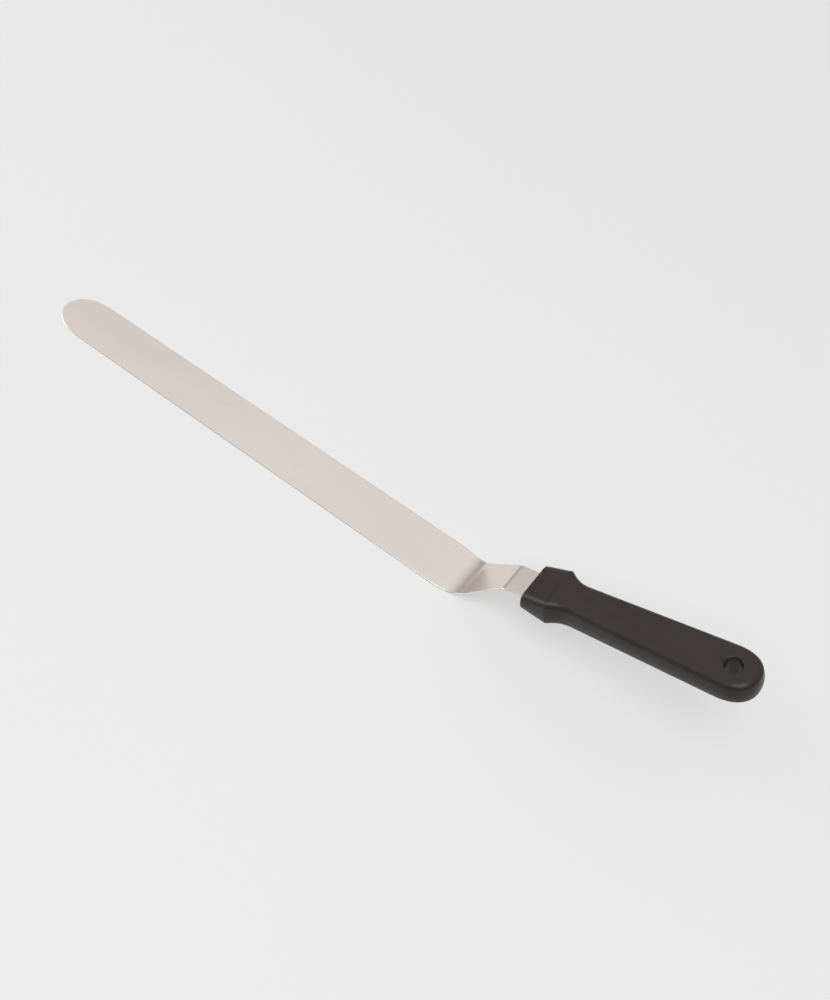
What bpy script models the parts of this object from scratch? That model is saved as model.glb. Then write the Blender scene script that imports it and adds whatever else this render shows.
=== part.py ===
"""A cranked palette knife: one stepped steel strip with a moulded handle over its tang.

Metres, +Z up. The knife lies along X, the blade's tip at -X and the handle's end at +X.
It is symmetric about Y = 0. The blade lies flat on Z = 0 and the handle is raised above it.
The origin is under the middle of the knife's bounding box.
"""

import math

import bmesh
import bpy
from mathutils import Matrix, Vector

# Steel strip, along the knife from the tip
STRIP_THICKNESS = 0.0010
BLADE_LENGTH = 0.3000        # tip to first bend
TIP_LENGTH = 0.0215          # length of the rounded tip
TIP_HALF_WIDTH = 0.0140      # where the rounded tip ends
HEEL_HALF_WIDTH = 0.0148     # widest place, just before the heel
HEEL_START = 0.2830          # where the blade starts to narrow
HEEL_END = 0.3280            # where it has narrowed to the neck, just past the second bend
TIP_STEPS = 20
HEEL_STEPS = 16
CRANK_RUN = 0.0234           # first bend to second bend, along the knife
CRANK_RISE = 0.0290          # first bend to second bend, upwards
BEND_RADII = (0.0150, 0.0045)
BEND_STEPS = 10
NECK_HALF_WIDTH = 0.0086
TANG_SHOWN = 0.0127          # second bend to handle
TANG_HALF_WIDTH = 0.00845    # strip where it enters the handle
TANG_TILT = math.radians(19.4)

# Tang inside the handle
TANG_SHOULDER = 0.0050       # depth at which the tang starts to narrow
TANG_STEP = 0.0040           # length over which it narrows
TANG_HIDDEN = 0.0780
TANG_HIDDEN_HALF_WIDTH = 0.0058
KEY_DEPTHS = (0.0280, 0.0620)
KEY_HOLE_RADIUS = 0.0028
FIT_GAP = 0.0003

# Handle, along its own axis from its front face: depth, half width, top height, bottom depth
HANDLE_LENGTH = 0.1225
BOLSTER_FRONT = (0.0, 0.0125, 0.0056, 0.0058)
BOLSTER_PEAK = (0.0155, 0.0137, 0.0088, 0.0084)
NECK = (0.0275, 0.0098, 0.0073, 0.0081)
GRIP_END = (0.1060, 0.0128, 0.0074, 0.0065)
SCOOP_POWER = 2.3            # how quickly the scoop behind the bolster falls away
BOLSTER_LEAN = 0.19          # how far forward the bolster's lower side leans, per height
LEAN_END = 0.0400            # where the lean has faded out
END_POWER = 2.3              # 2 would be an elliptical end
EDGE_ACROSS = 0.0042         # the long edges are rounded more across than down the side
EDGE_DOWN = 0.0033
SIDE_BARREL = 0.0003         # swell of the sides at mid height
EDGE_STEPS = 5
BOLSTER_STATIONS = 6
SCOOP_STATIONS = 10
GRIP_STATIONS = 12
END_STATIONS = 14

# Hanging hole
HOLE_DEPTH = 0.1092
HOLE_RADIUS = 0.0043
HOLE_RIM = 0.0009
HOLE_STEPS = 48
RIM_STEPS = 4

# Working sizes
CUT_REACH = 0.0300           # how far a cutter runs past what it cuts
KEY_STEPS = 32
SHARP_ANGLE = math.radians(35)
PRISM_HEIGHT = 0.2000
WELD_DISTANCE = 0.000001

# Materials: linear colour, metallic, roughness
STEEL_LOOK = ((0.62, 0.57, 0.54, 1.0), 1.0, 0.34)
PLASTIC_LOOK = ((0.045, 0.038, 0.034, 1.0), 0.0, 0.42)


def clear_scene():
    """Remove the objects that a new file starts with."""
    for old in list(bpy.data.objects):
        bpy.data.objects.remove(old, do_unlink=True)


def new_collection(name):
    """Return a new collection in the scene."""
    collection = bpy.data.collections.new(name)
    bpy.context.scene.collection.children.link(collection)
    return collection


def make_material(name, look):
    """Return a Principled material from its colour, metallic and roughness values."""
    colour, metallic, roughness = look
    material = bpy.data.materials.new(name)
    material.use_nodes = True
    shader = material.node_tree.nodes["Principled BSDF"]
    shader.inputs["Base Color"].default_value = colour
    shader.inputs["Metallic"].default_value = metallic
    shader.inputs["Roughness"].default_value = roughness
    return material


def add_object(name, mesh, collection, material=None):
    """Link a mesh as a named object."""
    made = bpy.data.objects.new(name, mesh)
    collection.objects.link(made)
    if material:
        mesh.materials.append(material)
    return made


def mark_cutter(cutter):
    """Show a cutter as wire and keep it out of renders."""
    cutter.hide_render = True
    cutter.display_type = "WIRE"
    return cutter


def add_boolean(target, cutter, operation):
    """Cut or trim the target with the cutter."""
    boolean = target.modifiers.new(cutter.name, "BOOLEAN")
    boolean.operation = operation
    boolean.solver = "EXACT"
    boolean.object = cutter


def extrude_outline(name, outline, thickness, placement, collection):
    """Return a solid made from a flat closed outline in XY, extruded both ways along Z."""
    curve = bpy.data.curves.new(name, "CURVE")
    curve.dimensions = "2D"
    curve.fill_mode = "BOTH"
    curve.extrude = thickness / 2
    spline = curve.splines.new("POLY")
    spline.points.add(len(outline) - 1)
    for point, (x, y) in zip(spline.points, outline):
        point.co = (x, y, 0, 1)
    spline.use_cyclic_u = True
    flat = add_object(name + "_curve", curve, collection)
    flat.matrix_world = placement
    bpy.context.view_layer.update()
    evaluated = flat.evaluated_get(bpy.context.evaluated_depsgraph_get())
    mesh = bpy.data.meshes.new_from_object(evaluated)
    weld = bmesh.new()
    weld.from_mesh(mesh)
    bmesh.ops.remove_doubles(weld, verts=weld.verts, dist=WELD_DISTANCE)
    bmesh.ops.recalc_face_normals(weld, faces=weld.faces)
    weld.to_mesh(mesh)
    weld.free()
    solid = add_object(name, mesh, collection)
    solid.matrix_world = flat.matrix_world.copy()
    bpy.data.objects.remove(flat, do_unlink=True)
    return solid


def smooth_step(share):
    """Ease from 0 to 1 with level ends."""
    return share * share * (3 - 2 * share)


def blend(start, end, share):
    """Mix two section rows."""
    return [a + (b - a) * share for a, b in zip(start, end)]


def section_at(depth):
    """Return the handle's half width, top height and bottom depth before its end is rounded."""
    if depth <= BOLSTER_PEAK[0]:
        row = blend(BOLSTER_FRONT, BOLSTER_PEAK, depth / BOLSTER_PEAK[0])
    elif depth <= NECK[0]:
        share = (depth - BOLSTER_PEAK[0]) / (NECK[0] - BOLSTER_PEAK[0])
        row = blend(BOLSTER_PEAK, NECK, 1 - (1 - share) ** SCOOP_POWER)
    else:
        row = blend(NECK, GRIP_END, (depth - NECK[0]) / (GRIP_END[0] - NECK[0]))
    return row[1:]


def spread(start, end, count):
    """Return evenly spaced values from start up to, but without, end."""
    return [start + (end - start) * step / count for step in range(count)]


def handle_outline():
    """Return the +Y half of the handle's plan outline, front to end, as (depth, half width)."""
    depths = spread(BOLSTER_FRONT[0], BOLSTER_PEAK[0], BOLSTER_STATIONS)
    depths += spread(BOLSTER_PEAK[0], NECK[0], SCOOP_STATIONS)
    depths += spread(NECK[0], GRIP_END[0], GRIP_STATIONS)
    outline = [(depth, section_at(depth)[0]) for depth in depths]
    end_length = HANDLE_LENGTH - GRIP_END[0]
    for step in range(END_STATIONS + 1):
        angle = math.pi / 2 * step / END_STATIONS
        along = math.sin(angle) ** (2 / END_POWER)
        across = math.cos(angle) ** (2 / END_POWER) if step < END_STATIONS else 0.0
        outline.append((GRIP_END[0] + end_length * along, GRIP_END[1] * across))
    return outline


def outline_normal(outline, index):
    """Return the outward direction of the outline at one of its points."""
    if index == 0:
        return Vector((0.0, 1.0))
    if index == len(outline) - 1:
        return Vector((1.0, 0.0))
    before = Vector(outline[index - 1])
    after = Vector(outline[index + 1])
    run = after - before
    return Vector((-run.y, run.x)).normalized()


def edge_profile():
    """Return (inset, share, drop) rows down the side: share 0 is the top and 1 the bottom."""
    rows = []
    for step in range(EDGE_STEPS + 1):
        angle = math.pi / 2 * step / EDGE_STEPS
        inset = SIDE_BARREL + EDGE_ACROSS * (1 - math.sin(angle))
        rows.append((inset, 0, EDGE_DOWN * (1 - math.cos(angle))))
    middle = [(0.0, 0.5, EDGE_DOWN)]
    return rows + middle + [(inset, 1, drop) for inset, share, drop in reversed(rows)]


def lean(depth, height):
    """Return a depth moved back or forward by the bolster's lean at a height."""
    fade = 1 - smooth_step(min(max(depth / LEAN_END, 0.0), 1.0))
    return depth + BOLSTER_LEAN * height * fade


def side_point(base, normal, row):
    """Return one point of the handle's side, down its profile from an outline point."""
    inset, share, drop = row
    depth = base[0] - normal.x * inset
    across = max(base[1] - normal.y * inset, 0.0)
    _, top, bottom = section_at(depth)
    height = (top - drop) * (1 - share) + (drop - bottom) * share
    return (lean(depth, height), across, height)


def add_centre(shell, vert):
    """Return the point of the middle plane beside a ring's end point."""
    if vert.co.y == 0.0:
        return vert
    return shell.verts.new((vert.co.x, 0.0, vert.co.z))


def add_band(shell, near, far, near_centres, far_centres):
    """Add the faces between two rings: the side, and the strips of top and bottom."""
    for row in range(len(near) - 1):
        shell.faces.new((near[row], near[row + 1], far[row + 1], far[row]))
    top = [near_centres[0], near[0], far[0]]
    bottom = [far[-1], near[-1], near_centres[1]]
    if far_centres[0] is not far[0]:
        top.append(far_centres[0])
        bottom.insert(0, far_centres[1])
    shell.faces.new(top)
    shell.faces.new(bottom)


def handle_mesh():
    """Loft the handle's +Y half: rounded sides along the outline, level across the top."""
    outline = handle_outline()
    profile = edge_profile()
    shell = bmesh.new()
    rings = []
    for index, base in enumerate(outline):
        normal = outline_normal(outline, index)
        rings.append([shell.verts.new(side_point(base, normal, row)) for row in profile])
    centres = [(add_centre(shell, ring[0]), add_centre(shell, ring[-1])) for ring in rings]
    for index in range(len(rings) - 1):
        add_band(shell, rings[index], rings[index + 1], centres[index], centres[index + 1])
    shell.faces.new(list(centres[0]) + rings[0][::-1])
    bmesh.ops.recalc_face_normals(shell, faces=shell.faces)
    mesh = bpy.data.meshes.new("handle")
    shell.to_mesh(mesh)
    shell.free()
    return mesh


def handle_start():
    """Return the place, in the knife's side view from the tip, where the tang meets the handle."""
    x = BLADE_LENGTH + CRANK_RUN + TANG_SHOWN * math.cos(TANG_TILT)
    z = STRIP_THICKNESS / 2 + CRANK_RISE + TANG_SHOWN * math.sin(TANG_TILT)
    return x, z


def tip_place(mesh):
    """Return the tip's X that puts the middle of the knife's length at X = 0."""
    start_x, _ = handle_start()
    reaches = [v.co.x * math.cos(TANG_TILT) - v.co.z * math.sin(TANG_TILT) for v in mesh.vertices]
    return -(start_x + max(reaches)) / 2


def bend_at(before, corner, after, radius):
    """Return (point, upward normal) pairs round a bend between two directions at a corner."""
    turn = math.atan2(before.cross(after), before.dot(after))
    setback = radius * math.tan(abs(turn) / 2)
    side = math.copysign(1, turn)
    normal = Vector((-before.y, before.x))
    centre = corner - before * setback + normal * radius * side
    pairs = []
    for step in range(BEND_STEPS + 1):
        turned = Matrix.Rotation(turn * step / BEND_STEPS, 2) @ normal
        pairs.append((centre - turned * radius * side, turned))
    return pairs


def bent_line(corners):
    """Return (point, upward normal) pairs along a line in XZ with round bends at its corners."""
    runs = [(end - start).normalized() for start, end in zip(corners, corners[1:])]
    pairs = [(corners[0], Vector((-runs[0].y, runs[0].x)))]
    for index, radius in enumerate(BEND_RADII, 1):
        pairs += bend_at(runs[index - 1], corners[index], runs[index], radius)
    pairs.append((corners[-1], Vector((-runs[-1].y, runs[-1].x))))
    return pairs


def strip_side_outline(tip_x):
    """Return the strip's closed side view: tip, blade, crank and tang."""
    start_x, start_z = handle_start()
    level = STRIP_THICKNESS / 2
    reach = TANG_HIDDEN + CUT_REACH
    corners = [
        Vector((tip_x - CUT_REACH, level)),
        Vector((tip_x + BLADE_LENGTH, level)),
        Vector((tip_x + BLADE_LENGTH + CRANK_RUN, level + CRANK_RISE)),
        Vector((tip_x + start_x + reach * math.cos(TANG_TILT), start_z + reach * math.sin(TANG_TILT))),
    ]
    pairs = bent_line(corners)
    upper = [point + normal * level for point, normal in pairs]
    lower = [point - normal * level for point, normal in pairs]
    return upper + lower[::-1]


def strip_plan_outline(tip_x):
    """Return the strip's closed plan: rounded tip, widening blade, narrow crank and tang."""
    half = []
    for step in range(1, TIP_STEPS + 1):
        angle = math.pi / 2 * step / TIP_STEPS
        half.append((TIP_LENGTH * (1 - math.cos(angle)), TIP_HALF_WIDTH * math.sin(angle)))
    half.append((HEEL_START, HEEL_HALF_WIDTH))
    for step in range(1, HEEL_STEPS + 1):
        share = step / HEEL_STEPS
        x = HEEL_START + (HEEL_END - HEEL_START) * share
        half.append((x, HEEL_HALF_WIDTH + (NECK_HALF_WIDTH - HEEL_HALF_WIDTH) * smooth_step(share)))
    start_x, _ = handle_start()
    shrink = math.cos(TANG_TILT)
    half.append((start_x, TANG_HALF_WIDTH))
    half.append((start_x + TANG_SHOULDER * shrink, TANG_HALF_WIDTH))
    half.append((start_x + (TANG_SHOULDER + TANG_STEP) * shrink, TANG_HIDDEN_HALF_WIDTH))
    half.append((start_x + TANG_HIDDEN * shrink, TANG_HIDDEN_HALF_WIDTH))
    placed = [(tip_x + x, y) for x, y in half]
    return [(tip_x, 0.0)] + placed + [(x, -y) for x, y in reversed(placed)]


def make_handle_axis(tip_x):
    """Return the empty at the handle's front, with its X along the handle."""
    start_x, start_z = handle_start()
    axis = bpy.data.objects.new("handle_axis", None)
    bpy.context.scene.collection.objects.link(axis)
    axis.location = (tip_x + start_x, 0, start_z)
    axis.rotation_euler = (0, -TANG_TILT, 0)
    bpy.context.view_layer.update()
    return axis


def add_key_cylinder(name, depth, radius, axis, cutters):
    """Return a cylinder across the tang, at a depth inside the handle."""
    rod = bmesh.new()
    bmesh.ops.create_cone(
        rod, cap_ends=True, segments=KEY_STEPS, radius1=radius, radius2=radius, depth=STRIP_THICKNESS * 4
    )
    mesh = bpy.data.meshes.new(name)
    rod.to_mesh(mesh)
    rod.free()
    cylinder = mark_cutter(add_object(name, mesh, cutters))
    cylinder.parent = axis
    cylinder.location = (depth, 0, 0)
    return cylinder


def make_blade(tip_x, axis, parts, cutters, steel):
    """Make the steel strip: bent in side view, trimmed to its plan, with two holes in its tang."""
    upright = Matrix.Rotation(math.pi / 2, 4, "X")
    width = (HEEL_HALF_WIDTH + CUT_REACH) * 2
    blade = extrude_outline("blade", strip_side_outline(tip_x), width, upright, parts)
    blade.data.materials.append(steel)
    plan = extrude_outline("blade_plan", strip_plan_outline(tip_x), PRISM_HEIGHT * 2, Matrix(), cutters)
    add_boolean(blade, mark_cutter(plan), "INTERSECT")
    for number, depth in enumerate(KEY_DEPTHS, 1):
        hole = add_key_cylinder(f"tang_hole_{number}", depth, KEY_HOLE_RADIUS, axis, cutters)
        add_boolean(blade, hole, "DIFFERENCE")
    return blade


def make_slot_cutter(axis, cutters):
    """Make the slot that the tang fills, left solid where the handle passes through the tang."""
    wide = TANG_HALF_WIDTH + FIT_GAP
    narrow = TANG_HIDDEN_HALF_WIDTH + FIT_GAP
    shoulder = TANG_SHOULDER + FIT_GAP
    half = [
        (-CUT_REACH, wide),
        (shoulder, wide),
        (shoulder + TANG_STEP, narrow),
        (TANG_HIDDEN + FIT_GAP, narrow),
    ]
    outline = half + [(x, -y) for x, y in reversed(half)]
    thickness = STRIP_THICKNESS + FIT_GAP * 2
    slot = extrude_outline("tang_slot", outline, thickness, axis.matrix_world, cutters)
    slot.parent = axis
    slot.matrix_parent_inverse = axis.matrix_world.inverted()
    for number, depth in enumerate(KEY_DEPTHS, 1):
        key = add_key_cylinder(f"tang_key_{number}", depth, KEY_HOLE_RADIUS - FIT_GAP, axis, cutters)
        add_boolean(slot, key, "DIFFERENCE")
    return mark_cutter(slot)


def make_hole_cutter(axis, cutters):
    """Make the turned cutter of the hanging hole, flared at both faces for its round rims."""
    _, top, bottom = section_at(HOLE_DEPTH)
    profile = [(0.0, top + CUT_REACH), (HOLE_RADIUS + HOLE_RIM, top + CUT_REACH)]
    flare = []
    for step in range(RIM_STEPS + 1):
        angle = math.pi / 2 * step / RIM_STEPS
        radius = HOLE_RADIUS + HOLE_RIM * (1 - math.sin(angle))
        flare.append((radius, HOLE_RIM * (1 - math.cos(angle))))
    profile += [(radius, top - drop) for radius, drop in flare]
    profile += [(radius, drop - bottom) for radius, drop in reversed(flare)]
    profile += [(HOLE_RADIUS + HOLE_RIM, -bottom - CUT_REACH), (0.0, -bottom - CUT_REACH)]
    mesh = bpy.data.meshes.new("hang_hole")
    edges = [(index, index + 1) for index in range(len(profile) - 1)]
    mesh.from_pydata([(radius, 0.0, height) for radius, height in profile], edges, [])
    cutter = mark_cutter(add_object("hang_hole", mesh, cutters))
    cutter.parent = axis
    cutter.location = (HOLE_DEPTH, 0, 0)
    turned = cutter.modifiers.new("turned", "SCREW")
    turned.steps = HOLE_STEPS
    turned.render_steps = HOLE_STEPS
    turned.use_merge_vertices = True
    turned.merge_threshold = WELD_DISTANCE
    return cutter


def make_handle(mesh, axis, parts, cutters, plastic):
    """Make the moulded handle: mirrored loft, slot for the tang and hanging hole."""
    handle = add_object("handle", mesh, parts, plastic)
    handle.parent = axis
    mirror = handle.modifiers.new("mirror", "MIRROR")
    mirror.use_axis = (False, True, False)
    mirror.merge_threshold = WELD_DISTANCE
    add_boolean(handle, make_slot_cutter(axis, cutters), "DIFFERENCE")
    add_boolean(handle, make_hole_cutter(axis, cutters), "DIFFERENCE")
    mesh.shade_smooth()
    mesh.set_sharp_from_angle(angle=SHARP_ANGLE)
    return handle


def main():
    """Build the knife."""
    clear_scene()
    parts = new_collection("palette_knife")
    cutters = new_collection("cutters")
    steel = make_material("steel", STEEL_LOOK)
    plastic = make_material("plastic", PLASTIC_LOOK)
    mesh = handle_mesh()
    tip_x = tip_place(mesh)
    axis = make_handle_axis(tip_x)
    make_blade(tip_x, axis, parts, cutters, steel)
    make_handle(mesh, axis, parts, cutters, plastic)


main()
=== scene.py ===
"""The looks of a cranked palette knife: a satin ground steel strip and a moulded handle."""

import math

import bmesh
import bpy
from mathutils import Matrix, Vector


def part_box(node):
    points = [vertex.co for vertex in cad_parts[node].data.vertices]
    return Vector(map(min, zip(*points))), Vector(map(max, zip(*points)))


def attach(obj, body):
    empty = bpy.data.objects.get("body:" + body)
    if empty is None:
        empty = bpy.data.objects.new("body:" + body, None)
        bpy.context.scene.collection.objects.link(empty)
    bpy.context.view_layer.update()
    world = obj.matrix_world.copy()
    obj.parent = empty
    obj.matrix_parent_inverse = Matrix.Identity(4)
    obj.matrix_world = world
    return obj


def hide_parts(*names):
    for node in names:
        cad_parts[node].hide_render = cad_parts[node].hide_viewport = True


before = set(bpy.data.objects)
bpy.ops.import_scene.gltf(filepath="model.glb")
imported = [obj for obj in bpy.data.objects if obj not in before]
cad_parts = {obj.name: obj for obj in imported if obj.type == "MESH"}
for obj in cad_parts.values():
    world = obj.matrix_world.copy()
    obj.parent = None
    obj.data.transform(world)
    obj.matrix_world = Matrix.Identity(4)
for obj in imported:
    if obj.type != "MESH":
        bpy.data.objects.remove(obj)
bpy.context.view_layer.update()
blade_low, blade_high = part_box("blade")

# Strip, along the knife from the blade's tip (metres)
TIP_X = blade_low.x
STRIP_THICKNESS = 0.0010
BLADE_LENGTH = 0.3000
TIP_LENGTH = 0.0215
TIP_HALF_WIDTH = 0.0140
HEEL_HALF_WIDTH = blade_high.y
HEEL_START = 0.2830          # the blade starts to narrow
HEEL_END = 0.3280            # the strip stops narrowing
CRANK_RUN = 0.0234
CRANK_RISE = 0.0290
BEND_RADII = (0.0150, 0.0045)
NECK_HALF_WIDTH = 0.0086
TANG_SHOWN = 0.0127
TANG_HALF_WIDTH = 0.00845
TANG_TILT = math.radians(19.4)
STRIP_EDGE = 0.00035
BEND_STEPS = 24
TIP_STEPS = 40
BLADE_STEPS = 40
SHANK_STEPS = 110
EDGE_STEPS = 5
BLEND_REACH = 0.0040         # plain stretch left free behind the rounded tip
HEEL_REACH = 0.0120          # closer stations start this far in front of the heel
STRIP_SHARP = 50             # degrees

# Tang inside the handle
TANG_SHOULDER = 0.0050
TANG_STEP = 0.0040
TANG_HIDDEN = 0.0780
TANG_HIDDEN_HALF_WIDTH = 0.0058
KEY_DEPTHS = (0.0280, 0.0620)
KEY_HOLE_RADIUS = 0.0028
KEY_SEGMENTS = 48
KEY_THICKNESSES = 4          # the key cutter's height, in strip thicknesses
MOULD_GAP = 0.0001

# Handle, along its own axis; its sections are depth, half width, top height, bottom depth
HANDLE_LENGTH = 0.1225
BOLSTER_FRONT = (0.0, 0.0125, 0.0056, 0.0058)
BOLSTER_PEAK = (0.0155, 0.0137, 0.0088, 0.0084)
NECK = (0.0275, 0.0098, 0.0073, 0.0081)
GRIP_END = (0.1060, 0.0128, 0.0074, 0.0065)
SCOOP_POWER = 2.3            # how quickly the scoop behind the bolster falls away
BOLSTER_LEAN = 0.19          # forward lean of the bolster's lower side, per height
LEAN_END = 0.0400            # where the lean has faded out
END_POWER = 2.3
EDGE_ACROSS = 0.0042         # the long edges are rounded more across than down the side
EDGE_DOWN = 0.0033
FRONT_RIM = 0.0005
SIDE_BARREL = 0.0003
CREASE_SOFTNESS = 0.0009
PARTING_RIDGE = 0.00004
PARTING_HALF_WIDTH = 0.016   # as a share of the side's height
HOLE_DEPTH = 0.1092
HOLE_RADIUS = 0.0043
HOLE_RIM = 0.0009
CUT_REACH = 0.0300
FRONT_STATIONS = (2.2, 4.0)  # in front rims, clear of the front's rounding
CREASE_CLEAR = 1.5           # in crease softnesses, where the closer stations start
CREASE_SAMPLES = 9
CREASE_FALLOFF = 0.8         # how much less the outermost samples count
BOLSTER_STEPS = 10
SCOOP_STEPS = 44
GRIP_STEPS = 40
END_STEPS = 44
LONG_EDGE_STEPS = 10
SIDE_SHARES = (0.12, 0.24, 0.36, 0.45, 0.5 - PARTING_HALF_WIDTH)
FRONT_RIM_STEPS = 4
HOLE_RIM_STEPS = 8
HOLE_SEGMENTS = 96
HANDLE_SHARP = 40            # degrees
ON_THE_MIDDLE = 1e-7         # a point this near the mid-plane lies on it
ON_THE_FRONT = 1e-6          # a point this near the front plane lies on it

# Steel: noise scales along and across the flat strip, and what the noises do
STREAK_SCALE = (12.0, 1400.0, 1.0)
STREAK_ROUGHNESS = (0.26, 0.36)
STREAK_RELIEF = (0.12, 0.00001)
CLOUD_SCALE = (9.0, 30.0, 1.0)
STEEL_STOPS = ((0.35, (0.780, 0.715, 0.670)), (0.65, (0.815, 0.748, 0.702)))

# Plastic
MOTTLE_SCALE = (60.0, 60.0, 60.0)
PLASTIC_STOPS = ((0.3, (0.0285, 0.0235, 0.0205)), (0.7, (0.0345, 0.0285, 0.0250)))
GRAIN_SCALE = (2600.0, 2600.0, 2600.0)
GRAIN_RELIEF = (0.22, 0.00003)
FLOW_SCALE = (25.0, 160.0, 1.0)
FLOW_ROUGHNESS = (0.27, 0.33)
FLOW_RELIEF = (0.08, 0.0001)
PLASTIC_IOR = 1.26

# Floor
TONE_SCALE = (3.0, 3.0, 3.0)
FLOOR_STOPS = ((0.3, (0.280, 0.280, 0.280)), (0.7, (0.283, 0.283, 0.283)))
FLOOR_ROUGHNESS = 0.9

# Noise: detail, and how rough that detail is
FINE_NOISE = (3.0, 0.55)
EVEN_NOISE = (3.0, 0.5)
SOFT_NOISE = (2.0, 0.5)
NOISE_RANGE = (0.3, 0.7)     # where most of a noise's values lie
WHITE = (1.0, 1.0, 1.0, 1.0)

# Camera: its direction, and its place from the blade's tip: to the right, up the view and back
VIEW_AZIMUTH = math.radians(31.3)
VIEW_ELEVATION = math.radians(56.9)
VIEW_ROLL = math.radians(6.9)
VIEW_ACROSS = 0.2225
VIEW_UP = -0.0921
VIEW_DISTANCE = 0.7213
LENS_MM = 43.05
SENSOR_MM = 36.0

# Studio light
TENT_STRENGTH = 0.84
HORIZON_LIGHT = 0.38
HORIZON_EASE = (0.15, 0.82)  # upward part of a direction
VIEWER_SIDE_LIGHT = 0.05
VIEWER_SIDE_EASE = (-0.85, -0.35)
FLOOR_GLOW = 0.47
FLOOR_LOW = (-4.0, -1.2)
FLOOR_HIGH = (4.0, 4.0)
OVERHEAD_POWER = 24.0
OVERHEAD_SIZE = (1.2, 1.3)
OVERHEAD_PLACE = Vector((0.30, -0.66, 1.84))
SIDE_POWER = 14.0
SIDE_SIZE = (1.0, 1.0)
SIDE_PLACE = Vector((-1.85, -0.40, 0.66))


# ---------------------------------------------------------------- shared shapes

def smooth_step(share):
    """Ease from 0 to 1 with level ends."""
    return share * share * (3 - 2 * share)


def spread(start, end, count):
    """Return evenly spaced values from start up to, but without, end."""
    return [start + (end - start) * step / count for step in range(count)]


def turn_normals(outline, first, last):
    """Pair each outline point with its outward direction; the end directions are given."""
    paired = [(outline[0], Vector(first))]
    for index in range(1, len(outline) - 1):
        run = Vector(outline[index + 1]) - Vector(outline[index - 1])
        paired.append((outline[index], Vector((-run.y, run.x)).normalized()))
    paired.append((outline[-1], Vector(last)))
    return paired


def bridge(shell, near, far):
    """Join two rows of points with quads, dropping points that coincide."""
    for index in range(len(near) - 1):
        corners = []
        for corner in (near[index], near[index + 1], far[index + 1], far[index]):
            if corner not in corners:
                corners.append(corner)
        if len(corners) > 2:
            shell.faces.new(corners)


def mirrored_ring(shell, points):
    """Make a closed ring from the +Y side's points, top to bottom, and their mirror images."""
    side = [shell.verts.new(point) for point in points]
    if all(abs(point[1]) < ON_THE_MIDDLE for point in points):
        return side, side
    other = [shell.verts.new((x, -y, z)) for x, y, z in points]
    return side, other


def loft_outline(paired, side_points):
    """Build a closed solid: sides swept round a plan outline, top and bottom spanned across."""
    shell = bmesh.new()
    rings = [mirrored_ring(shell, side_points(base, normal)) for base, normal in paired]
    for (near, near_other), (far, far_other) in zip(rings, rings[1:]):
        bridge(shell, near, far)
        bridge(shell, far_other, near_other)
        bridge(shell, [near_other[0], near[0]], [far_other[0], far[0]])
        bridge(shell, [near[-1], near_other[-1]], [far[-1], far_other[-1]])
    for near, other in (rings[0], rings[-1]):
        if near is not other:
            shell.faces.new(near + other[::-1])
    bmesh.ops.recalc_face_normals(shell, faces=shell.faces)
    return shell


def to_object(shell, name, place):
    """Turn a bmesh into a linked object, moving its points to their place.

    The UV map keeps where each point was before, so that a grain can follow a bent piece.
    """
    flat = shell.loops.layers.uv.new("flat")
    for face in shell.faces:
        for loop in face.loops:
            loop[flat].uv = loop.vert.co.xy
    for vert in shell.verts:
        vert.co = place(vert.co)
    bmesh.ops.recalc_face_normals(shell, faces=shell.faces)
    mesh = bpy.data.meshes.new(name)
    shell.to_mesh(mesh)
    shell.free()
    made = bpy.data.objects.new(name, mesh)
    bpy.context.scene.collection.objects.link(made)
    return made


def cut_away(target, cutter):
    """Subtract a cutter from the target's mesh and remove the cutter."""
    cut = target.modifiers.new("cut", "BOOLEAN")
    cut.operation = "DIFFERENCE"
    cut.solver = "EXACT"
    cut.object = cutter
    bpy.context.view_layer.update()
    evaluated = target.evaluated_get(bpy.context.evaluated_depsgraph_get())
    mesh = bpy.data.meshes.new_from_object(evaluated)
    target.modifiers.remove(cut)
    old = target.data
    target.data = mesh
    mesh.name = old.name
    bpy.data.meshes.remove(old)
    bpy.data.objects.remove(cutter, do_unlink=True)


def finish_surface(piece, sharp_degrees):
    """Shade a piece smooth, with flat faces kept flat and true corners kept sharp."""
    piece.data.shade_smooth()
    piece.data.set_sharp_from_angle(angle=math.radians(sharp_degrees))
    weighted = piece.modifiers.new("weighted_normals", "WEIGHTED_NORMAL")
    weighted.keep_sharp = True
    weighted.weight = 100


# ---------------------------------------------------------------- steel strip

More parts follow.
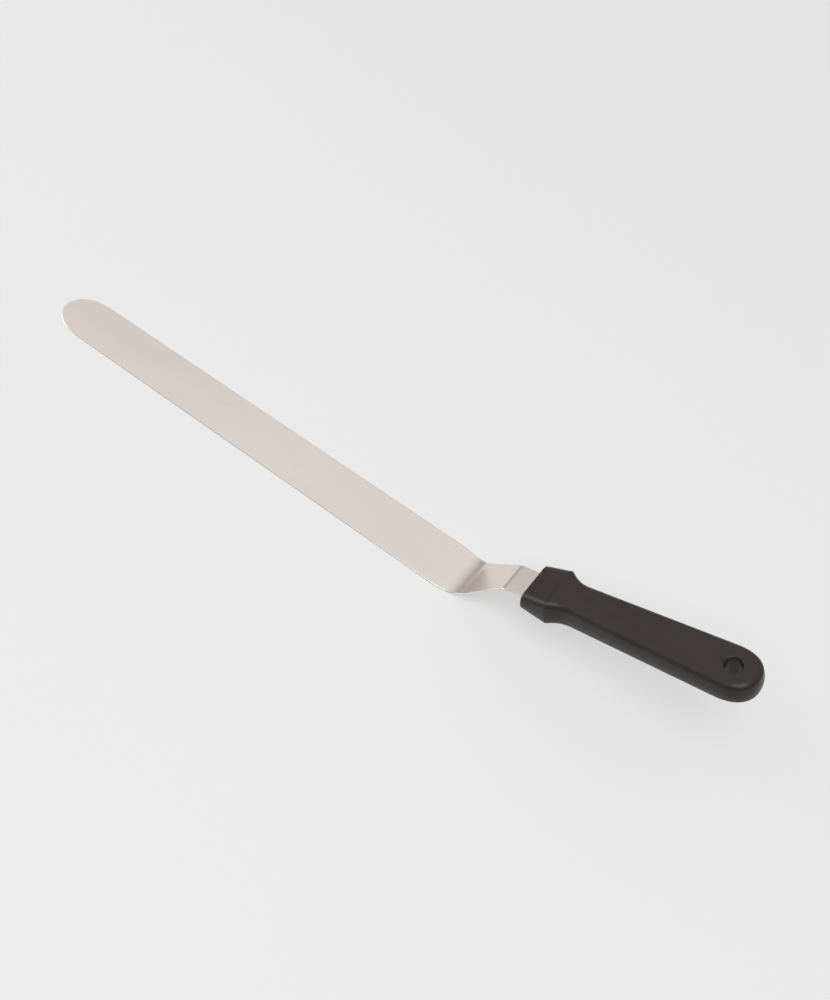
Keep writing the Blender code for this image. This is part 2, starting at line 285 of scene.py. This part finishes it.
def strip_path():
    """Return the strip's centreline as (distance, x, z, direction angle) stations."""
    level = STRIP_THICKNESS / 2
    ramp_angle = math.atan2(CRANK_RISE, CRANK_RUN)
    blade_end = TIP_X + BLADE_LENGTH
    corners = [(blade_end, level), (blade_end + CRANK_RUN, level + CRANK_RISE)]
    turns = [(0.0, ramp_angle), (ramp_angle, TANG_TILT)]
    stations = [(0.0, TIP_X, level, 0.0)]
    for (corner_x, corner_z), (angle_in, angle_out), radius in zip(corners, turns, BEND_RADII):
        turn = angle_out - angle_in
        setback = radius * math.tan(abs(turn) / 2)
        distance, x, z, _ = stations[-1]
        start_x = corner_x - setback * math.cos(angle_in)
        start_z = corner_z - setback * math.sin(angle_in)
        distance += math.hypot(start_x - x, start_z - z)
        side = math.copysign(1, turn)
        centre_x = start_x - math.sin(angle_in) * radius * side
        centre_z = start_z + math.cos(angle_in) * radius * side
        for step in range(BEND_STEPS + 1):
            angle = angle_in + turn * step / BEND_STEPS
            arc = radius * abs(turn) * step / BEND_STEPS
            bend_x = centre_x + math.sin(angle) * radius * side
            bend_z = centre_z - math.cos(angle) * radius * side
            stations.append((distance + arc, bend_x, bend_z, angle))
    distance, x, z, angle = stations[-1]
    start_x, start_z = handle_start()
    reach = math.hypot(start_x - x, start_z - z) + TANG_HIDDEN
    end_x = x + reach * math.cos(angle)
    end_z = z + reach * math.sin(angle)
    stations.append((distance + reach, end_x, end_z, angle))
    return stations


def handle_start():
    """Return the place in the side view where the tang's middle meets the handle."""
    x = TIP_X + BLADE_LENGTH + CRANK_RUN + TANG_SHOWN * math.cos(TANG_TILT)
    z = STRIP_THICKNESS / 2 + CRANK_RISE + TANG_SHOWN * math.sin(TANG_TILT)
    return x, z


def follow_strip(stations, point):
    """Bend a point of the flat strip (distance, across, height) into place."""
    distance, across, height = point
    last = len(stations) - 1
    index = 0
    while index < last - 1 and stations[index + 1][0] < distance:
        index += 1
    start, end = stations[index], stations[index + 1]
    share = (distance - start[0]) / (end[0] - start[0])
    x = start[1] + (end[1] - start[1]) * share
    z = start[2] + (end[2] - start[2]) * share
    angle = start[3] + (end[3] - start[3]) * min(max(share, 0.0), 1.0)
    return Vector((x - math.sin(angle) * height, across, z + math.cos(angle) * height))


def strip_half_width(along):
    """Return the strip's half width at a plan distance from the tip, behind the rounded tip."""
    if along <= HEEL_START:
        share = (along - TIP_LENGTH) / (HEEL_START - TIP_LENGTH)
        return TIP_HALF_WIDTH + (HEEL_HALF_WIDTH - TIP_HALF_WIDTH) * share
    if along <= HEEL_END:
        share = (along - HEEL_START) / (HEEL_END - HEEL_START)
        return HEEL_HALF_WIDTH + (NECK_HALF_WIDTH - HEEL_HALF_WIDTH) * smooth_step(share)
    start_x, _ = handle_start()
    share = min((along - HEEL_END) / (start_x - TIP_X - HEEL_END), 1.0)
    return NECK_HALF_WIDTH + (TANG_HALF_WIDTH - NECK_HALF_WIDTH) * share


def strip_outline(stations):
    """Return the +Y half of the unbent strip's outline, tip to tang end."""
    outline = []
    for step in range(TIP_STEPS + 1):
        angle = math.pi / 2 * step / TIP_STEPS
        outline.append((TIP_LENGTH * (1 - math.cos(angle)), TIP_HALF_WIDTH * math.sin(angle)))
    length = stations[-1][0]
    handle_distance = length - TANG_HIDDEN
    distances = spread(TIP_LENGTH + BLEND_REACH, HEEL_START - HEEL_REACH, BLADE_STEPS)
    distances += spread(HEEL_START - HEEL_REACH, handle_distance, SHANK_STEPS)
    for distance in distances:
        placed = follow_strip(stations, (distance, 0, 0))
        outline.append((distance, strip_half_width(placed.x - TIP_X)))
    outline.append((handle_distance + TANG_SHOULDER, TANG_HALF_WIDTH))
    outline.append((handle_distance + TANG_SHOULDER + TANG_STEP, TANG_HIDDEN_HALF_WIDTH))
    outline.append((length, TANG_HIDDEN_HALF_WIDTH))
    return outline


def strip_side(base, normal):
    """Return the strip's rounded edge, top to bottom, at an outline point."""
    half = STRIP_THICKNESS / 2
    upper = []
    for step in range(EDGE_STEPS + 1):
        angle = math.pi / 2 * step / EDGE_STEPS
        inset = STRIP_EDGE * (1 - math.sin(angle))
        height = half - STRIP_EDGE * (1 - math.cos(angle))
        upper.append((inset, height))
    rows = upper + [(inset, -height) for inset, height in reversed(upper)]
    points = []
    for inset, height in rows:
        across = max(base[1] - normal.y * inset, 0.0)
        points.append((base[0] - normal.x * inset, across, height))
    return points


def handle_matrix():
    """Return the placement of the handle: at its front, with X along it."""
    x, z = handle_start()
    return Matrix.Translation((x, 0, z)) @ Matrix.Rotation(-TANG_TILT, 4, "Y")


def make_key_cylinder(depth, radius):
    """Return a cylinder across the tang at a depth inside the handle."""
    rod = bmesh.new()
    height = STRIP_THICKNESS * KEY_THICKNESSES
    bmesh.ops.create_cone(
        rod, cap_ends=True, segments=KEY_SEGMENTS, radius1=radius, radius2=radius, depth=height
    )
    placement = handle_matrix() @ Matrix.Translation((depth, 0, 0))
    return to_object(rod, "key_cutter", lambda point: placement @ point)


def make_blade():
    """Make the strip: rounded tip, slightly widening blade, crank and tang with its two holes."""
    stations = strip_path()
    paired = turn_normals(strip_outline(stations), (-1, 0), (0, 1))
    shell = loft_outline(paired, strip_side)
    strip = to_object(shell, "steel_strip", lambda point: follow_strip(stations, point))
    for depth in KEY_DEPTHS:
        cut_away(strip, make_key_cylinder(depth, KEY_HOLE_RADIUS))
    finish_surface(strip, STRIP_SHARP)
    return strip


# ---------------------------------------------------------------- moulded handle

def blend(start, end, share):
    """Mix two section rows."""
    return [a + (b - a) * share for a, b in zip(start, end)]


def plain_section(depth):
    """Return the handle's half width, top height and bottom depth, with a crisp crease."""
    if depth <= BOLSTER_PEAK[0]:
        row = blend(BOLSTER_FRONT, BOLSTER_PEAK, depth / BOLSTER_PEAK[0])
    elif depth <= NECK[0]:
        share = (depth - BOLSTER_PEAK[0]) / (NECK[0] - BOLSTER_PEAK[0])
        row = blend(BOLSTER_PEAK, NECK, 1 - (1 - share) ** SCOOP_POWER)
    else:
        row = blend(NECK, GRIP_END, (depth - NECK[0]) / (GRIP_END[0] - NECK[0]))
    return row[1:]


def soft_section(depth):
    """Return the section with the crease round the bolster's widest place softened."""
    total = [0.0, 0.0, 0.0]
    weights = 0.0
    for index in range(CREASE_SAMPLES):
        offset = 2 * index / (CREASE_SAMPLES - 1) - 1
        weight = 1 - offset * offset * CREASE_FALLOFF
        row = plain_section(depth + offset * CREASE_SOFTNESS)
        total = [sum_so_far + value * weight for sum_so_far, value in zip(total, row)]
        weights += weight
    return [value / weights for value in total]


def handle_outline():
    """Return the +Y half of the handle's plan outline, front to end."""
    first, second = FRONT_STATIONS
    crease_start = BOLSTER_PEAK[0] - CREASE_SOFTNESS * CREASE_CLEAR
    scoop_end = NECK[0] + CREASE_SOFTNESS
    depths = [0.0, FRONT_RIM * first]
    depths += spread(FRONT_RIM * second, crease_start, BOLSTER_STEPS)
    depths += spread(crease_start, scoop_end, SCOOP_STEPS)
    depths += spread(scoop_end, GRIP_END[0], GRIP_STEPS)
    outline = [(depth, soft_section(depth)[0]) for depth in depths]
    end_length = HANDLE_LENGTH - GRIP_END[0]
    for step in range(END_STEPS + 1):
        angle = math.pi / 2 * step / END_STEPS
        along = math.sin(angle) ** (2 / END_POWER)
        across = math.cos(angle) ** (2 / END_POWER) if step < END_STEPS else 0.0
        outline.append((GRIP_END[0] + end_length * along, GRIP_END[1] * across))
    return outline


def handle_side_rows():
    """Return (inset, share, drop) rows down the side; share runs from 0, top, to 1, bottom."""
    upper = []
    for step in range(LONG_EDGE_STEPS + 1):
        angle = math.pi / 2 * step / LONG_EDGE_STEPS
        inset = SIDE_BARREL + EDGE_ACROSS * (1 - math.sin(angle))
        upper.append((inset, 0, EDGE_DOWN * (1 - math.cos(angle))))
    side = []
    for share in SIDE_SHARES:
        side.append((SIDE_BARREL * (2 * share - 1) ** 2, share, EDGE_DOWN))
    ridge = [(-PARTING_RIDGE, 0.5, EDGE_DOWN)]
    top_half = upper + side
    return top_half + ridge + [(inset, 1 - share, drop) for inset, share, drop in reversed(top_half)]


def handle_side(rows, base, normal):
    """Return the handle's side, top to bottom, at an outline point."""
    points = []
    for inset, share, drop in rows:
        depth = base[0] - normal.x * inset
        across = max(base[1] - normal.y * inset, 0.0) if base[1] > 0 else 0.0
        _, top, bottom = soft_section(depth)
        points.append((depth, across, (top - drop) * (1 - share) + (drop - bottom) * share))
    return points


def lean(point):
    """Lean the bolster: its upper side back and its lower side forward."""
    fade = 1 - smooth_step(min(max(point.x / LEAN_END, 0.0), 1.0))
    return Vector((point.x + BOLSTER_LEAN * point.z * fade, point.y, point.z))


def round_front_rim(shell):
    """Round the rim of the handle's flat front face."""
    rim = [edge for edge in shell.edges if all(abs(vert.co.x) < ON_THE_FRONT for vert in edge.verts)]
    bmesh.ops.bevel(
        shell,
        geom=rim,
        offset=FRONT_RIM,
        offset_type="OFFSET",
        segments=FRONT_RIM_STEPS,
        profile=0.5,
        affect="EDGES",
    )


def make_slot_cutter():
    """Return the slot that the tang fills, with the two plugs of plastic that pass through it."""
    wide = TANG_HALF_WIDTH + MOULD_GAP
    narrow = TANG_HIDDEN_HALF_WIDTH + MOULD_GAP
    shoulder = TANG_SHOULDER + MOULD_GAP
    half = [
        (-CUT_REACH, wide),
        (shoulder, wide),
        (shoulder + TANG_STEP, narrow),
        (TANG_HIDDEN + MOULD_GAP, narrow),
    ]
    outline = half + [(x, -y) for x, y in reversed(half)]
    height = STRIP_THICKNESS / 2 + MOULD_GAP
    slab = bmesh.new()
    lower = [slab.verts.new((x, y, -height)) for x, y in outline]
    face = slab.faces.new(lower)
    raised = bmesh.ops.extrude_face_region(slab, geom=[face])
    for vert in [item for item in raised["geom"] if isinstance(item, bmesh.types.BMVert)]:
        vert.co.z = height
    slot = to_object(slab, "slot_cutter", lambda point: handle_matrix() @ point)
    for depth in KEY_DEPTHS:
        cut_away(slot, make_key_cylinder(depth, KEY_HOLE_RADIUS - MOULD_GAP))
    return slot


def make_hole_cutter():
    """Return the turned cutter of the hanging hole, flared at both faces for its round rims."""
    _, top, bottom = soft_section(HOLE_DEPTH)
    flare = []
    for step in range(HOLE_RIM_STEPS + 1):
        angle = math.pi / 2 * step / HOLE_RIM_STEPS
        flare.append((HOLE_RADIUS + HOLE_RIM * (1 - math.sin(angle)), HOLE_RIM * (1 - math.cos(angle))))
    profile = [(HOLE_RADIUS + HOLE_RIM, top + CUT_REACH)]
    profile += [(radius, top - drop) for radius, drop in flare]
    profile += [(radius, drop - bottom) for radius, drop in reversed(flare)]
    profile += [(HOLE_RADIUS + HOLE_RIM, -bottom - CUT_REACH)]
    body = bmesh.new()
    rings = []
    for radius, height in profile:
        ring = []
        for step in range(HOLE_SEGMENTS):
            angle = 2 * math.pi * step / HOLE_SEGMENTS
            ring.append(body.verts.new((radius * math.cos(angle), radius * math.sin(angle), height)))
        rings.append(ring)
    for upper, lower in zip(rings, rings[1:]):
        for step in range(HOLE_SEGMENTS):
            following = (step + 1) % HOLE_SEGMENTS
            body.faces.new((upper[step], lower[step], lower[following], upper[following]))
    body.faces.new(rings[0])
    body.faces.new(rings[-1][::-1])
    placement = handle_matrix() @ Matrix.Translation((HOLE_DEPTH, 0, 0))
    return to_object(body, "hole_cutter", lambda point: placement @ point)


def make_handle():
    """Make the moulded handle with its flared bolster, parting line, slot and hanging hole."""
    rows = handle_side_rows()
    paired = turn_normals(handle_outline(), (0, 1), (1, 0))
    shell = loft_outline(paired, lambda base, normal: handle_side(rows, base, normal))
    round_front_rim(shell)
    placement = handle_matrix()
    handle = to_object(shell, "moulded_handle", lambda point: placement @ lean(point))
    cut_away(handle, make_slot_cutter())
    cut_away(handle, make_hole_cutter())
    finish_surface(handle, HANDLE_SHARP)
    return handle


# ---------------------------------------------------------------- materials

def new_material(name):
    """Return a material with its node tree and Principled shader."""
    material = bpy.data.materials.new(name)
    material.use_nodes = True
    tree = material.node_tree
    return material, tree, tree.nodes["Principled BSDF"]


def add_noise(tree, source, scale, kind):
    """Return a noise read at object coordinates, or the flat UV map's, stretched by a scale."""
    coordinates = tree.nodes.new("ShaderNodeTexCoord")
    stretched = tree.nodes.new("ShaderNodeMapping")
    stretched.inputs["Scale"].default_value = scale
    tree.links.new(coordinates.outputs[source], stretched.inputs["Vector"])
    noise = tree.nodes.new("ShaderNodeTexNoise")
    noise.inputs["Scale"].default_value = 1.0
    noise.inputs["Detail"].default_value, noise.inputs["Roughness"].default_value = kind
    tree.links.new(stretched.outputs["Vector"], noise.inputs["Vector"])
    return noise.outputs["Fac"]


def add_ramp(tree, value, stops):
    """Return a colour ramp between two (position, colour) stops."""
    ramp = tree.nodes.new("ShaderNodeValToRGB")
    for element, (position, colour) in zip(ramp.color_ramp.elements, stops):
        element.position = position
        element.color = (*colour, 1.0)
    tree.links.new(value, ramp.inputs["Fac"])
    return ramp.outputs["Color"]


def add_range(tree, value, source, target, interpolation="LINEAR"):
    """Return a value carried from one range to another."""
    mapped = tree.nodes.new("ShaderNodeMapRange")
    mapped.interpolation_type = interpolation
    mapped.inputs["From Min"].default_value, mapped.inputs["From Max"].default_value = source
    mapped.inputs["To Min"].default_value, mapped.inputs["To Max"].default_value = target
    tree.links.new(value, mapped.inputs["Value"])
    return mapped.outputs["Result"]


def add_bump(tree, height, relief, before=None):
    """Return a normal bumped by a relief's (strength, distance), on top of an earlier one."""
    bump = tree.nodes.new("ShaderNodeBump")
    bump.inputs["Strength"].default_value, bump.inputs["Distance"].default_value = relief
    tree.links.new(height, bump.inputs["Height"])
    if before:
        tree.links.new(before, bump.inputs["Normal"])
    return bump.outputs["Normal"]


def steel_material():
    """Satin stainless steel: soft clouds of tone, and fine streaks along the strip."""
    material, tree, shader = new_material("satin_steel")
    streaks = add_noise(tree, "UV", STREAK_SCALE, FINE_NOISE)
    cloud = add_noise(tree, "UV", CLOUD_SCALE, SOFT_NOISE)
    gloss = add_range(tree, streaks, NOISE_RANGE, STREAK_ROUGHNESS)
    tree.links.new(add_ramp(tree, cloud, STEEL_STOPS), shader.inputs["Base Color"])
    tree.links.new(gloss, shader.inputs["Roughness"])
    tree.links.new(add_bump(tree, streaks, STREAK_RELIEF), shader.inputs["Normal"])
    shader.inputs["Metallic"].default_value = 1.0
    return material


def plastic_material():
    """Near-black moulded plastic: faint brown mottling, soft sheen and a fine moulded grain."""
    material, tree, shader = new_material("moulded_plastic")
    mottle = add_noise(tree, "Object", MOTTLE_SCALE, FINE_NOISE)
    grain = add_noise(tree, "Object", GRAIN_SCALE, SOFT_NOISE)
    flow = add_noise(tree, "UV", FLOW_SCALE, EVEN_NOISE)
    gloss = add_range(tree, flow, NOISE_RANGE, FLOW_ROUGHNESS)
    waves = add_bump(tree, flow, FLOW_RELIEF)
    tree.links.new(add_ramp(tree, mottle, PLASTIC_STOPS), shader.inputs["Base Color"])
    tree.links.new(gloss, shader.inputs["Roughness"])
    tree.links.new(add_bump(tree, grain, GRAIN_RELIEF, waves), shader.inputs["Normal"])
    shader.inputs["IOR"].default_value = PLASTIC_IOR
    return material


def floor_material():
    """Plain pale paper with a faint glow, so that shadows on it stay faint."""
    material, tree, shader = new_material("pale_floor")
    tone = add_noise(tree, "Object", TONE_SCALE, SOFT_NOISE)
    tree.links.new(add_ramp(tree, tone, FLOOR_STOPS), shader.inputs["Base Color"])
    shader.inputs["Roughness"].default_value = FLOOR_ROUGHNESS
    shader.inputs["Specular IOR Level"].default_value = 0.0
    shader.inputs["Emission Color"].default_value = WHITE
    shader.inputs["Emission Strength"].default_value = FLOOR_GLOW
    return material


# ---------------------------------------------------------------- studio

def make_floor():
    """Lay a large pale sheet under the knife, longer behind it than in front."""
    sheet = bmesh.new()
    (left, front), (right, back) = FLOOR_LOW, FLOOR_HIGH
    corners = ((left, front, 0), (right, front, 0), (right, back, 0), (left, back, 0))
    sheet.faces.new([sheet.verts.new(corner) for corner in corners])
    floor = to_object(sheet, "floor", lambda point: point)
    floor.data.materials.append(floor_material())


def make_world():
    """Light the scene with a white tent: bright overhead, dimmer low down and at the front."""
    world = bpy.data.worlds.new("studio")
    bpy.context.scene.world = world
    world.use_nodes = True
    tree = world.node_tree
    background = tree.nodes["Background"]
    coordinates = tree.nodes.new("ShaderNodeTexCoord")
    split = tree.nodes.new("ShaderNodeSeparateXYZ")
    tree.links.new(coordinates.outputs["Generated"], split.inputs["Vector"])
    dim, full = HORIZON_LIGHT * TENT_STRENGTH, TENT_STRENGTH
    height = add_range(tree, split.outputs["Z"], HORIZON_EASE, (dim, full), "SMOOTHSTEP")
    front_light = (VIEWER_SIDE_LIGHT, 1.0)
    front = add_range(tree, split.outputs["Y"], VIEWER_SIDE_EASE, front_light, "SMOOTHSTEP")
    product = tree.nodes.new("ShaderNodeMath")
    product.operation = "MULTIPLY"
    tree.links.new(height, product.inputs[0])
    tree.links.new(front, product.inputs[1])
    tree.links.new(product.outputs["Value"], background.inputs["Strength"])
    background.inputs["Color"].default_value = WHITE


def add_softbox(name, place, size, power):
    """Hang a rectangular softbox that faces the knife."""
    light = bpy.data.lights.new(name, "AREA")
    light.shape = "RECTANGLE"
    light.size, light.size_y = size
    light.energy = power
    softbox = bpy.data.objects.new(name, light)
    softbox.location = place
    softbox.rotation_euler = place.to_track_quat("Z", "Y").to_euler()
    bpy.context.scene.collection.objects.link(softbox)


def make_camera():
    """Place the camera, turned about its own view direction by the roll."""
    ahead = Vector((-math.sin(VIEW_AZIMUTH), math.cos(VIEW_AZIMUTH), 0))
    right = Vector((math.cos(VIEW_AZIMUTH), math.sin(VIEW_AZIMUTH), 0))
    rise, level = math.sin(VIEW_ELEVATION), math.cos(VIEW_ELEVATION)
    up = ahead * rise + Vector((0, 0, level))
    back = ahead * -level + Vector((0, 0, rise))
    blade_tip = Vector((TIP_X, 0, STRIP_THICKNESS / 2))
    place = blade_tip + right * VIEW_ACROSS + up * VIEW_UP + back * VIEW_DISTANCE
    turned_right = right * math.cos(VIEW_ROLL) + up * math.sin(VIEW_ROLL)
    turned_up = up * math.cos(VIEW_ROLL) - right * math.sin(VIEW_ROLL)
    data = bpy.data.cameras.new("camera")
    data.lens = LENS_MM
    data.sensor_width = SENSOR_MM
    camera = bpy.data.objects.new("camera", data)
    facing = Matrix((turned_right, turned_up, back)).transposed()
    camera.matrix_world = Matrix.Translation(place) @ facing.to_4x4()
    bpy.context.scene.collection.objects.link(camera)
    bpy.context.scene.camera = camera


def dress(piece, node, material):
    """Give a piece its material and let it stand for its CAD node."""
    piece.data.materials.clear()
    piece.data.materials.append(material)
    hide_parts(node)
    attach(piece, "root")


dress(make_blade(), "blade", steel_material())
dress(make_handle(), "handle", plastic_material())
make_floor()
make_world()
add_softbox("overhead_softbox", OVERHEAD_PLACE, OVERHEAD_SIZE, OVERHEAD_POWER)
add_softbox("tip_side_softbox", SIDE_PLACE, SIDE_SIZE, SIDE_POWER)
make_camera()
bpy.context.scene.view_settings.view_transform = "Standard"
